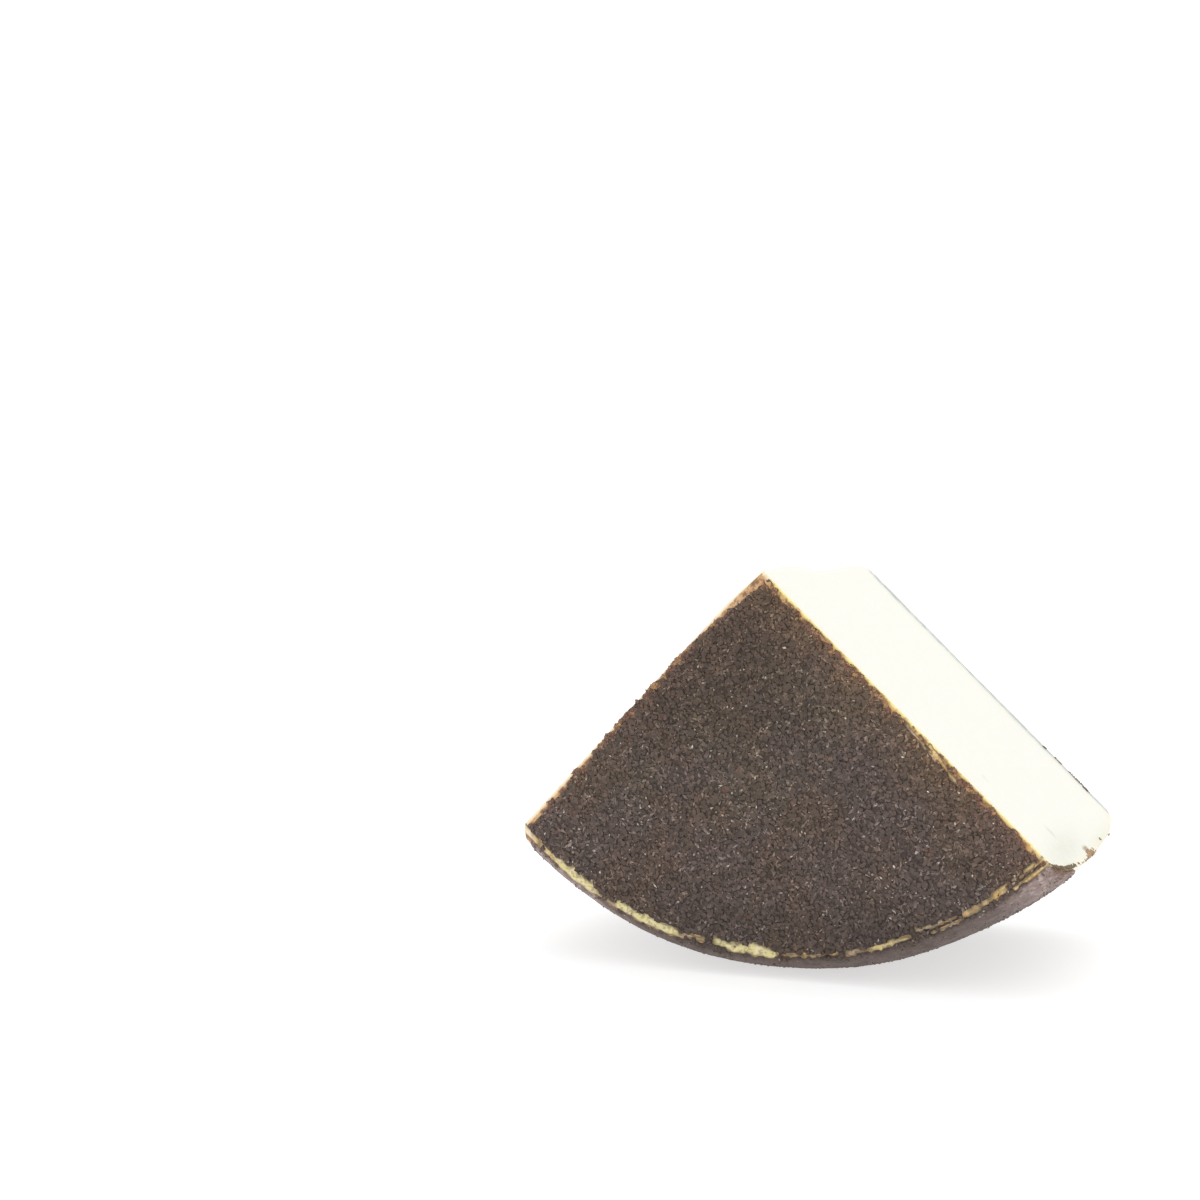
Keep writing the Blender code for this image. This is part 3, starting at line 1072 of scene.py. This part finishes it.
    def store(self, piece: bpy.types.Object, skin_count: int, rings: list[Ring]) -> None:
        """Stores the depth under the rind, the wear, the stains and the painted shade at each vertex."""
        form = self.form
        points = np.array([v.co for v in piece.data.vertices])
        radius = np.hypot(points[:, 0] - form.wheel.axis[0], points[:, 2] - form.wheel.axis[1])
        to_side = form.wheel.side_radius(points[:, 1]) - radius
        from_left, from_right = (form.inside(cut, points) for cut in form.cuts)
        near_right = smooth(9 * MM, 5 * MM, from_right)
        down = (points - form.tip) @ form.right.down / MM
        deep = (points[:, 1] + form.wheel.half) / MM
        to_side = to_side + self.pale_rim * near_right * smooth(4, 20, deep)
        thickness = form.wheel.half + form.wheel.face_height(radius)
        to_front, to_back = thickness + points[:, 1], thickness - points[:, 1] + self.pale_back * near_right
        nearest = np.minimum(np.minimum(to_side, to_front), to_back)
        depth = np.maximum(nearest - self.skin_depth - self.edge_round, 0.0)
        depth[:skin_count] = np.where(to_back[:skin_count] < 2 * self.pale_back, depth[:skin_count], 0.0)
        paint(piece, "rind_depth", depth)
        along = np.zeros(len(points))
        along[:skin_count] = np.concatenate([ring.along for ring in rings])
        gone, warmth = self.wear.at(form, points, along)
        gone[skin_count:] = 0.0
        paint(piece, "wear", gone)
        paint(piece, "warmth", warmth)
        paint(piece, "edge", np.minimum(from_left, from_right))
        paint(piece, "left_side", smooth(6 * MM, 4 * MM, from_left))
        paint(piece, "pale", smooth(15 * MM, 9 * MM, from_right) * smooth(8, 24, deep))
        on_cut = smooth(1.5 * MM, 0.6 * MM, from_right) * smooth(0.5 * MM, 2.5 * MM, from_left)
        # Painted shade: a grey line along the far edge of the right cut.
        far_edge_shade = on_cut * smooth(*self.far_edge_mm, deep)
        far_edge_shade[:skin_count] *= smooth(0.6 * MM, 0.2 * MM, from_right[:skin_count])
        paint(piece, "far_edge_shade", far_edge_shade)
        for name, marks in (("stain", self.stains), ("shade", self.shades)):
            paint(piece, name, on_cut * np.max([mark.level(down, deep) for mark in marks], axis=0))


def edge_fade(y: np.ndarray, half: float) -> np.ndarray:
    """Fades out over the last millimetres before each flat face."""
    return smooth(0, 3 * MM, half - np.abs(y))


@dataclass
class Crust:
    """The granular coating: a closed shell that dips under the skin where it has come off."""

    form: WedgeForm
    wear: Wear
    paste: Paste
    spacing: float = 0.72 * MM
    inner_spacing: float = 3.0 * MM
    sink: float = 0.45 * MM
    inner_depth: float = 1.2 * MM
    inner_inset: float = 1.3 * MM
    lump: float = 0.16 * MM
    lump_length: float = 1.5 * MM
    hump: float = 0.14 * MM
    hump_length: float = 4.0 * MM
    jitter: float = 0.10 * MM
    lowered: float = 0.20 * MM
    hidden_inset: float = 0.6 * MM
    tears: tuple[tuple[float, float], ...] = ((0.8, 2.2 * MM), (0.7, 5.5 * MM), (0.4, 1.0 * MM))
    tear_seed: int = 6
    right_bare_mm: float = 0.40
    right_torn_mm: float = 2.5
    left_bare_mm: float = 0.05
    low_left_bare_mm: float = 1.90
    left_torn_mm: float = 2.0
    seed: int = 3
    points: np.ndarray = field(init=False)
    side: np.ndarray = field(init=False)
    cover: np.ndarray = field(init=False)
    edge: np.ndarray = field(init=False)
    faces: np.ndarray = field(init=False)

    def chipped(self, points: np.ndarray, along: np.ndarray) -> tuple[np.ndarray, np.ndarray]:
        """How much of the coating is left near the cuts.

        Args:
            points: places on the rind.
            along: their distances along the profile from the front shoulder.

        Returns:
            1 where it is whole and 0 where it is gone, and the distance from the nearest cut.
        """
        form = self.form
        layers = enumerate(self.tears, start=self.tear_seed)
        torn = sum(size * noise_at(points, length, seed) for seed, (size, length) in layers)
        from_left, from_right = (form.inside(cut, points) for cut in form.cuts)
        past_back = form.wheel.side_length() - along
        on_side = smooth(1.0 * MM, 6.0 * MM, along) * smooth(1.0 * MM, 6.0 * MM, past_back)
        low_left = smooth(0.070, 0.050, points[:, 2])
        behind = smooth(90 * MM, 100 * MM, along)
        bare_side = on_side * (11.0 * smooth(14 * MM, 50 * MM, along) - 0.8)
        tip = smooth(0.100, 0.116, points[:, 2])
        right_gap = self.right_bare_mm + self.right_torn_mm * torn * (1 - 0.5 * behind)
        right_gap = (right_gap + bare_side + 0.8 * behind + 1.0 * tip) * MM
        left_gap = self.left_bare_mm + self.low_left_bare_mm * low_left + self.left_torn_mm * torn
        left_gap = (left_gap + 0.4 * on_side + 0.4 * tip) * MM
        left = smooth(-0.25 * MM, 0.25 * MM, from_left - left_gap)
        right = smooth(-0.25 * MM, 0.25 * MM, from_right - right_gap)
        kept = left * right
        for crush in form.crushes:
            kept = kept * smooth(0.3 * MM, -crush.bare_reach, crush.beyond(points) + 0.8 * MM * torn)
        return kept, np.minimum(from_left, from_right)

    def build(self, finish: CrustFinish, effects: SharedEffects) -> bpy.types.Object:
        """Makes the shell."""
        form, shell = self.form, Shell()
        rng = np.random.default_rng(self.seed)
        rings = form.rings(self.spacing)
        points = np.concatenate([ring.points for ring in rings])
        normals = np.concatenate([ring.normals for ring in rings])
        along = np.concatenate([ring.along for ring in rings])
        gone, _ = self.wear.at(form, points, along)
        kept, self.edge = self.chipped(points, along)
        for crush in form.crushes:
            near = smooth(11 * MM, 2 * MM, np.linalg.norm(points - crush.corner, axis=1))
            self.edge = self.edge * (1 - 0.65 * near)
        self.cover = np.clip(kept * (1 - smooth(0.28, 0.72, gone)), 0.0, 1.0)
        relief = self.lump * noise_at(points, self.lump_length, 9)
        relief = relief + self.hump * noise_at(points, self.hump_length, 10)
        relief = relief + self.jitter * rng.uniform(-1, 1, len(points))
        past_back = form.wheel.side_length() - along
        self.side = smooth(0.5 * MM, 3 * MM, along) * smooth(0.5 * MM, 3 * MM, past_back)
        whole = form.wheel.swell(points) - self.lowered + relief * (1 - 0.6 * self.side)
        under = form.wheel.swell(points) - self.paste.skin_depth - self.paste.rounding(points) - self.sink
        height = under + (whole - under) * self.cover
        placed = points + normals * height[:, None]
        for cut in form.cuts:
            at_cut = smooth(0.8 * MM, 0.0, form.inside(cut, points)) * (1 - self.cover)
            placed = placed - (self.hidden_inset * at_cut)[:, None] * cut.normal
        self.points = self.paste.settled(placed, (1 - self.cover) * self.sink)
        lengths = np.cumsum([len(ring.share) for ring in rings])[:-1]
        outer = shell.sheet(rings, np.split(self.points, lengths), flip=False)
        self.faces = np.array(shell.faces)
        inner_rings = form.rings(self.inner_spacing)
        inner = shell.sheet(inner_rings, [self.inner(ring) for ring in inner_rings], flip=True)
        for end in (0, -1):
            near = [numbers[end] for numbers in outer]
            far = [numbers[end] for numbers in inner]
            near_place = self.border_places(rings, end)
            far_place = self.border_places(inner_rings, end)
            shell.stitch(np.array(near), np.array(far), near_place, far_place, flip=end != 0)
        made = shell.object("pepper_crust", finish.material(effects), smooth_shading=True)
        angle = form.angle_of(points)
        bright_side = smooth(-20, -32, angle) * smooth(9 * MM, 3 * MM, along) + 0.9 * smooth(30, 45, angle)
        stored = {"edge": self.edge, "side": self.side, "bright_side": bright_side * self.side}
        for name, values in stored.items():
            paint(made, name, np.concatenate([values, np.zeros(shell.count - len(values))]))
        return made

    def inner(self, ring: Ring) -> np.ndarray:
        """The shell's hidden side at one ring: deeper, and drawn in from the cuts."""
        form = self.form
        away = form.wheel.swell(ring.points) - self.paste.skin_depth - self.inner_depth
        points = ring.points + ring.normals * away[:, None]
        for cut in form.cuts:
            short = np.maximum(self.inner_inset - form.inside(cut, points), 0.0)
            points = points - short[:, None] * cut.normal
        points = self.paste.settled(points, self.inner_depth)
        points[:, 2] = np.maximum(points[:, 2], self.inner_depth)
        return points

    @staticmethod
    def border_places(rings: list[Ring], end: int) -> np.ndarray:
        """How far along the shell's border each ring's end is, as a share."""
        ends = np.array([ring.points[end] for ring in rings])
        length = np.concatenate([[0], np.cumsum(np.linalg.norm(np.diff(ends, axis=0), axis=1))])
        return length / length[-1]


class Shape(Enum):
    """The two ways in which a peppercorn breaks."""

    SHARD = "shard"
    SPLINTER = "splinter"


GRAIN_STRETCH = (1.15, 0.85, 0.50)
SHARD_HALF_SIDE = 0.30
SPLINTER_HALF_LENGTH = 0.5
CORNER_SCATTER = 0.11
STRETCH_SPREAD = 0.25


def broken(
    shape: Shape, count: int, stretch: tuple[float, float, float], rng: np.random.Generator
) -> tuple[np.ndarray, np.ndarray]:
    """Grains of size 1, as a peppercorn breaks.

    Args:
        shape: the way in which it breaks.
        count: how many grains.
        stretch: how long, wide and thick they are on average.
        rng: the source of the random draws.

    Returns:
        The corners of each grain about its middle, and the triangles of one grain.
    """
    if shape is Shape.SHARD:
        corners = np.array([[x, y, z] for x in (-1, 1) for y in (-1, 1) for z in (-1, 1)]) * SHARD_HALF_SIDE
        quads = ((0, 1, 3, 2), (4, 6, 7, 5), (0, 4, 5, 1), (2, 3, 7, 6), (0, 2, 6, 4), (1, 5, 7, 3))
        faces = [(a, b, c) for a, b, c, d in quads] + [(a, c, d) for a, b, c, d in quads]
    else:
        ends = [[1, 0, 0], [0, 1, 0], [-1, 0, 0], [0, -1, 0], [0, 0, 1], [0, 0, -1]]
        corners = np.array(ends) * SPLINTER_HALF_LENGTH
        faces = [(i, (i + 1) % 4, 4) for i in range(4)] + [((i + 1) % 4, i, 5) for i in range(4)]
    scatter = rng.uniform(-CORNER_SCATTER, CORNER_SCATTER, (count, len(corners), 3))
    spread = rng.uniform(1 - STRETCH_SPREAD, 1 + STRETCH_SPREAD, (count, 1, 3)) * stretch
    return (corners + scatter) * spread, np.array(faces)


@dataclass
class Grains:
    """Separate grains in the making: the corners of each, the triangles of one, tones and edge distances."""

    corners: np.ndarray
    triangles: np.ndarray
    tones: np.ndarray
    edges: np.ndarray

    def build(self, finish: GrainFinish, effects: SharedEffects) -> bpy.types.Object:
        """Joins the grains into one piece, which takes its finish's name."""
        count, each = self.corners.shape[:2]
        faces = self.triangles[None] + (np.arange(count) * each)[:, None, None]
        points, faces = self.corners.reshape(-1, 3), faces.reshape(-1, 3)
        made = mesh_object(finish.name, points, faces, finish.material(effects), smooth_shading=False)
        paint(made, "tone", np.repeat(self.tones, each))
        paint(made, "edge", np.repeat(self.edges, each))
        return made


@dataclass(frozen=True)
class GrainBatch:
    """Grains of one kind, scattered over the crust."""

    finish: GrainFinish
    count: int
    smallest: float
    largest: float
    shape: Shape
    sunk: float
    tilt: float
    seed: int
    on_side: float = 0.3
    clumping: float = 0.0
    near_cuts: float = 0.0
    finer_at_cuts: float = 0.35
    strays: float = 0.12
    table_margin: float = 0.9 * MM
    least_height: float = 0.1 * MM
    stretch: tuple[float, float, float] = GRAIN_STRETCH

    def build(self, crust: Crust, effects: SharedEffects) -> bpy.types.Object:
        """Scatters the grains and joins them into one piece."""
        rng = np.random.default_rng(self.seed)
        corners = crust.points[crust.faces]
        square = np.cross(corners[:, 1] - corners[:, 0], corners[:, 2] - corners[:, 0])
        area = np.linalg.norm(square, axis=1)
        edge = crust.edge[crust.faces].mean(axis=1)
        whole = smooth(0.15, 0.75, crust.cover[crust.faces].min(axis=1))
        whole = np.maximum(whole, self.strays * smooth(1.5 * MM, 3.0 * MM, edge))
        weight = area * whole * (corners[:, :, 2].min(axis=1) > self.table_margin)
        weight = weight * (1 - (1 - self.on_side) * crust.side[crust.faces[:, 0]])
        if self.clumping:
            clumps = smooth(-0.25, 0.35, noise_at(crust.points, 5.0 * MM, self.seed))
            weight = weight * (1 - self.clumping * clumps[crust.faces[:, 0]])
        if self.near_cuts:
            weight = weight * np.exp(-edge / self.near_cuts)
        chosen = rng.choice(len(area), self.count, p=weight / weight.sum())
        mix = rng.dirichlet((1, 1, 1), self.count)
        places = (corners[chosen] * mix[:, :, None]).sum(axis=1)
        outward = unit(square[chosen])
        sideways = unit(np.cross(outward, rng.normal(size=(self.count, 3))))
        up = unit(outward + sideways * rng.uniform(0, self.tilt, (self.count, 1)))
        first = unit(np.cross(up, rng.normal(size=(self.count, 3))))
        turn = np.stack([first, np.cross(up, first), up], axis=1)
        size = rng.triangular(self.smallest, self.smallest, self.largest, self.count)
        size = size * (1 - self.finer_at_cuts * smooth(4 * MM, 0.5 * MM, edge[chosen]))
        size = (size * (1 - 0.5 * crust.side[crust.faces[chosen, 0]]))[:, None, None]
        shapes, triangles = broken(self.shape, self.count, self.stretch, rng)
        grains = np.einsum("nki,nij->nkj", shapes * size, turn)
        grains += (places - outward * size[:, 0] * self.sunk)[:, None, :]
        grains[..., 2] = np.maximum(grains[..., 2], self.least_height)
        tones = rng.uniform(0, 1, self.count)
        return Grains(grains, triangles, tones, edge[chosen]).build(self.finish, effects)


GRAINS: tuple[GrainBatch, ...] = (
    GrainBatch(
        GrainFinish("pepper_husk", (0.070, 0.050, 0.038), (0.108, 0.077, 0.059), 0.62),
        11500, 1.1 * MM, 2.6 * MM, Shape.SHARD, sunk=-0.03, tilt=0.35, seed=21, on_side=0.0,
    ),
    GrainBatch(
        GrainFinish("pepper_brown", (0.090, 0.064, 0.050), (0.160, 0.114, 0.088), 0.62),
        12500, 0.9 * MM, 2.1 * MM, Shape.SHARD, sunk=-0.03, tilt=0.4, seed=22, on_side=0.10,
    ),
    GrainBatch(
        GrainFinish("pepper_tan", (0.144, 0.110, 0.088), (0.315, 0.257, 0.211), 0.55),
        6200, 0.8 * MM, 1.8 * MM, Shape.SPLINTER, sunk=-0.08, tilt=0.7, seed=23, on_side=0.15, clumping=0.80,
        stretch=(1.45, 0.58, 0.50),
    ),
    # Pale bits of pepper, partly their own colour and partly painted highlight: whitish grains stand in for
    # glints.
    GrainBatch(
        GrainFinish("pepper_pale", (0.340, 0.300, 0.260), (0.740, 0.690, 0.620), 0.32),
        1500, 0.6 * MM, 1.2 * MM, Shape.SPLINTER, sunk=-0.10, tilt=0.7, seed=24, on_side=0.1, clumping=0.85,
        stretch=(1.30, 0.70, 0.60),
    ),
    GrainBatch(
        GrainFinish("pepper_rust", (0.104, 0.066, 0.050), (0.196, 0.120, 0.086), 0.50),
        3200, 0.8 * MM, 1.8 * MM, Shape.SPLINTER, sunk=-0.08, tilt=0.7, seed=25, near_cuts=2.6 * MM,
    ),
)


@dataclass(frozen=True)
class CrumbSpot:
    """A few crumbs of coating stuck to the right cut, by distance from the ridge and from the front face.

    tone is 0 for dark and olive, and 1 for pinkish tan.
    """

    down_mm: float
    depth_mm: float
    down_spread_mm: float
    depth_spread_mm: float
    count: int
    size_mm: float
    tone: float


@dataclass
class Crumbs:
    """Crumbs of coating that the knife dragged onto the right cut and along its far edge."""

    form: WedgeForm
    finish: GrainFinish = GrainFinish("crust_crumbs", (0.092, 0.082, 0.054), (0.460, 0.345, 0.215), 0.65)
    flattened: float = 0.45
    # Each spot: down_mm, depth_mm, down_spread_mm, depth_spread_mm, count, size_mm, tone.
    spots: tuple[CrumbSpot, ...] = (
        CrumbSpot(119.8, 6.0, 0.6, 1.8, 90, 1.3, 0.05),
        CrumbSpot(121.4, 11.5, 0.9, 3.8, 210, 1.5, 0.08),
        CrumbSpot(121.6, 37.0, 0.6, 5.0, 26, 1.0, 0.70),
        CrumbSpot(119.4, 44.5, 0.9, 2.6, 80, 1.3, 0.85),
        CrumbSpot(116.6, 66.0, 0.3, 0.5, 4, 0.9, 0.5),
        CrumbSpot(117.2, 79.0, 0.5, 1.0, 6, 0.8, 0.5),
        CrumbSpot(82.0, 101.6, 0.5, 0.3, 6, 1.6, 0.2),
        CrumbSpot(87.8, 101.6, 0.9, 0.3, 10, 1.2, 0.3),
        CrumbSpot(93.5, 101.6, 0.6, 0.3, 6, 1.1, 0.2),
        CrumbSpot(96.6, 101.4, 1.3, 0.4, 11, 1.2, 0.3),
        CrumbSpot(100.2, 101.2, 1.0, 0.4, 12, 1.5, 0.15),
    )
    seed: int = 31

    def places(self, rng: np.random.Generator) -> Iterator[tuple[float, float, float, float]]:
        """Where each crumb lies.

        Args:
            rng: the source of the random draws.

        Returns:
            For each crumb, its distances from the ridge and from the front face, its size and its tone.
        """
        for spot in self.spots:
            for _ in range(spot.count):
                down = spot.down_mm + rng.normal() * spot.down_spread_mm
                deep = spot.depth_mm + rng.normal() * spot.depth_spread_mm
                yield down * MM, deep * MM, spot.size_mm * MM * rng.uniform(0.5, 1.1), spot.tone

    def build(self, effects: SharedEffects) -> bpy.types.Object:
        """Makes all crumbs as one piece."""
        rng = np.random.default_rng(self.seed)
        form = self.form
        crumbs = list(self.places(rng))
        shapes, triangles = broken(Shape.SHARD, len(crumbs), GRAIN_STRETCH, rng)
        grains, tones = [], []
        for shape, (down, deep, size, tone) in zip(shapes, crumbs):
            y = min(deep, form.wheel.thickness) - form.wheel.half
            ridge = np.array([form.ridge(y)[0], y, form.ridge(y)[1]])
            longest = np.linalg.norm(form.rim_point(form.right, y) - ridge) - self.margin(size)
            place = ridge + min(down, longest) * form.right.down
            turn = Matrix.Rotation(rng.uniform(0, 6.28), 3, Vector(rng.normal(size=3)))
            flat = shape * size @ np.array(turn)
            flat = flat - self.flattened * (flat @ form.right.normal)[:, None] * form.right.normal
            grains.append(flat + place)
            tones.append(np.clip(tone + rng.uniform(-0.15, 0.15), 0, 1))
        crumbs_made = Grains(np.stack(grains), triangles, np.array(tones), np.ones(len(grains)))
        return crumbs_made.build(self.finish, effects)

    @staticmethod
    def margin(size: float) -> float:
        """How far a crumb's middle stays from the rind's outline."""
        return 0.5 * size + 0.6 * MM


@dataclass(frozen=True)
class Viewpoint:
    """The photograph's camera: how it is turned, and where the front face's centre stands in its view."""

    lens_mm: float = 66.0
    sensor_mm: float = 36.0
    round_deg: float = 21.6
    above_deg: float = 3.5
    centre_right: float = 0.04995
    centre_down: float = -0.00844
    centre_ahead: float = 0.63070

    def build(self, form: WedgeForm) -> None:
        """Adds the camera to the scene."""
        turn, rise = math.radians(self.round_deg), math.radians(self.above_deg)
        ahead = Vector((-math.sin(turn) * math.cos(rise), math.cos(turn) * math.cos(rise), -math.sin(rise)))
        right = Vector((math.cos(turn), math.sin(turn), 0.0))
        down = ahead.cross(right)
        centre = Vector((form.wheel.axis[0], -form.wheel.half, form.wheel.axis[1]))
        place = centre - right * self.centre_right - down * self.centre_down - ahead * self.centre_ahead
        data = bpy.data.cameras.new("camera")
        data.lens, data.sensor_width = self.lens_mm, self.sensor_mm
        data.clip_start, data.clip_end = 0.01, 20.0
        made = bpy.data.objects.new("camera", data)
        axes = Matrix((right, -down, -ahead)).transposed()
        made.matrix_world = Matrix.Translation(place) @ axes.to_4x4()
        bpy.context.scene.collection.objects.link(made)
        bpy.context.scene.camera = made


@dataclass(frozen=True)
class Softbox:
    """A square light that points at a place."""

    name: str
    place: tuple[float, float, float]
    target: tuple[float, float, float]
    side: float
    power: float

    def build(self) -> None:
        """Adds the light to the scene."""
        data = bpy.data.lights.new(self.name, "AREA")
        data.shape, data.size, data.energy = "SQUARE", self.side, self.power
        made = bpy.data.objects.new(self.name, data)
        direction = Vector(self.target) - Vector(self.place)
        turn = direction.to_track_quat("-Z", "Y").to_matrix().to_4x4()
        made.matrix_world = Matrix.Translation(self.place) @ turn
        bpy.context.scene.collection.objects.link(made)


@dataclass(frozen=True)
class Studio:
    """A white table under soft light, in front of white."""

    room_light: float = 1.02
    backdrop: float = 1.10
    floor_side: float = 8.0
    floor_colour: Colour = (0.55, 0.55, 0.55)
    floor_glow: float = 0.60
    softboxes: tuple[Softbox, ...] = (
        Softbox("top_softbox", (-0.10, 0.15, 1.10), (0.0, 0.0, 0.0), 1.2, 1.5),
        Softbox("front_softbox", (-0.70, -1.10, 0.55), (0.0, 0.0, 0.05), 0.9, 0.8),
    )

    def build(self) -> None:
        """Adds the floor, the lights and the white room."""
        corner = self.floor_side / 2
        corners = np.array([[x, y, 0.0] for x, y in ((-1, -1), (1, -1), (1, 1), (-1, 1))]) * corner
        material, board, shader = principled("table")
        shade = board.noise(board.places(), 3.0, 2.0, 0.5)
        white = tuple(0.985 * c for c in self.floor_colour)
        board.feed(shader.inputs["Base Color"], board.blend(shade, white, self.floor_colour))
        shader.inputs["Roughness"].default_value = 0.9
        shader.inputs["Specular IOR Level"].default_value = 0.0
        shader.inputs["Emission Color"].default_value = (1.0, 1.0, 1.0, 1.0)
        shader.inputs["Emission Strength"].default_value = self.floor_glow
        floor = mesh_object("table", corners, np.array([[0, 1, 2], [0, 2, 3]]), material, False)
        floor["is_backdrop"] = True
        for softbox in self.softboxes:
            softbox.build()
        world = bpy.data.worlds.new("room")
        world.use_nodes = True
        tree = world.node_tree
        board = Board(tree)
        seen = board.node("ShaderNodeLightPath").outputs["Is Camera Ray"]
        gain = self.backdrop - self.room_light
        strength = board.maths("MULTIPLY_ADD", seen, gain, self.room_light)
        board.feed(tree.nodes["Background"].inputs["Color"], (1.0, 1.0, 1.0))
        board.feed(tree.nodes["Background"].inputs["Strength"], strength)
        scene = bpy.context.scene
        scene.world = world
        scene.view_settings.view_transform = "Standard"


def adopt(piece: bpy.types.Object) -> None:
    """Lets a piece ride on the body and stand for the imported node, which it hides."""
    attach(piece, BODY)
    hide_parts(NODE)
    LOG.info("%s: %d triangles", piece.name, len(piece.data.polygons))


def main() -> None:
    """Builds every piece, the studio and the camera."""
    logging.basicConfig(level=logging.INFO, format="%(message)s")
    form, wear, effects = WedgeForm(), Wear(), SharedEffects()
    paste = Paste(form, wear)
    adopt(paste.build(PasteFinish(), effects))
    crust = Crust(form, wear, paste)
    adopt(crust.build(CrustFinish(), effects))
    for batch in GRAINS:
        adopt(batch.build(crust, effects))
    adopt(Crumbs(form).build(effects))
    Studio().build()
    Viewpoint().build(form)
    boxes = [[list(map(float, corner)) for corner in box] for box in (CAD_BOX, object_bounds())]


if __name__ == "__main__":
    main()
